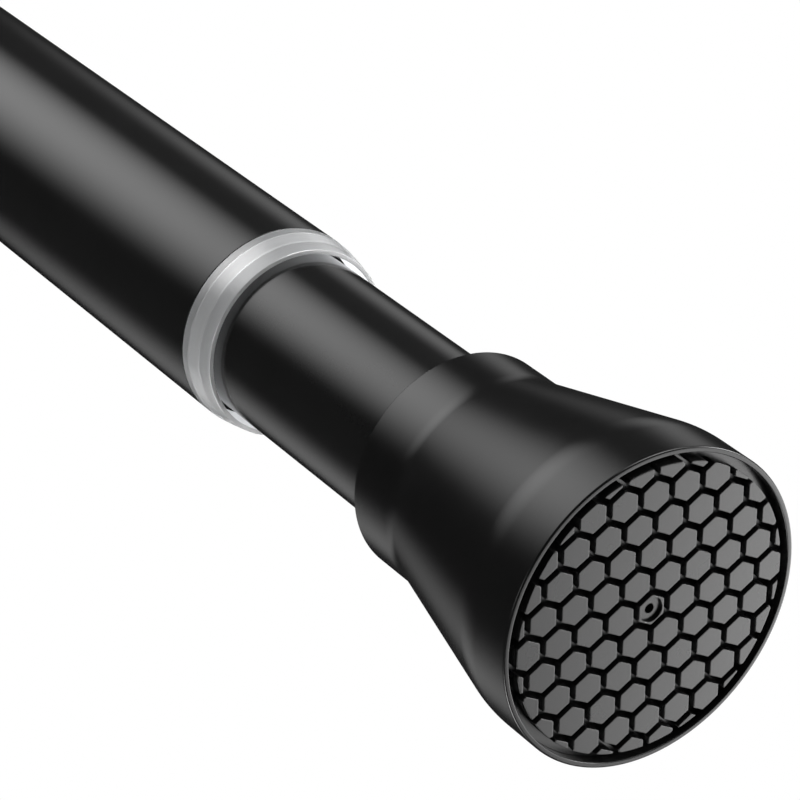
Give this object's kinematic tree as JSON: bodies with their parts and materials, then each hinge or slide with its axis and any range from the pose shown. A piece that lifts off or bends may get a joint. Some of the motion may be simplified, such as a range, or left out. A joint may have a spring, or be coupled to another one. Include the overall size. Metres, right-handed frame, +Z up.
{
  "type": "spring tension rod",
  "caption": "Telescoping curtain rod held between two walls by an inner spring, with flared feet, honeycomb grip pads and a twist lock.",
  "frame": {"origin": "centre of the fixed foot's pad face, on the rod's axis, where it bears on the wall", "axes": "+X along the rod from the fixed foot to the foot on the inner tube, +Z up"},
  "size_m": [0.4064, 0.0324, 0.0324],
  "materials": {
    "tube_paint": "satin black powder coat on steel",
    "milky_ring": "milky translucent polyethylene",
    "black_nylon": "black nylon",
    "bell_plastic": "satin black moulded plastic",
    "pad_rubber": "matte dark grey rubber",
    "white_nylon": "natural nylon",
    "grey_nylon": "grey filled nylon",
    "plated_steel": "zinc plated steel",
    "clip_steel": "oiled spring steel",
    "spring_steel": "drawn spring wire"
  },
  "bodies": {
    "outer_rod": {"outer_tube": "tube_paint", "far_cap": "bell_plastic", "far_pad": "pad_rubber", "mouth_ring": "milky_ring", "mouth_liner": "black_nylon"},
    "grip": {"gripping_sleeve": "white_nylon"},
    "wedge": {"cone_nut": "grey_nylon"},
    "spindle": {"lock_spindle": "plated_steel", "tip_clip": "clip_steel", "hub_clip": "clip_steel", "thrust_washer": "plated_steel", "tension_spring": "spring_steel", "tail_washer": "plated_steel", "tail_clip": "clip_steel"},
    "inner_rod": {"inner_tube": "tube_paint", "near_cap": "bell_plastic", "near_pad": "pad_rubber", "guide_bush": "white_nylon"}
  },
  "joints": [
    {"name": "telescope", "type": "slide", "parent": "outer_rod", "child": "grip", "axis": [1, 0, 0], "range_m": [0, 0.203]},
    {"name": "twist_lock", "type": "hinge", "parent": "grip", "child": "spindle", "pos_m": [0.048, 0, 0], "axis": [1, 0, 0], "range_deg": [-720, 0]},
    {"name": "nut_feed", "type": "slide", "parent": "grip", "child": "wedge", "axis": [1, 0, 0], "range_m": [0, 0.002]},
    {"name": "spring_push", "type": "slide", "parent": "spindle", "child": "inner_rod", "axis": [1, 0, 0], "range_m": [-0.02, 0], "stiffness_N_per_m": 3350, "springref_m": 0.006, "deforming": ["tension_spring"]}
  ],
  "couplings": [
    {"joint": "nut_feed", "follows": "twist_lock", "m_per_rad": -0.00015915}
  ]
}
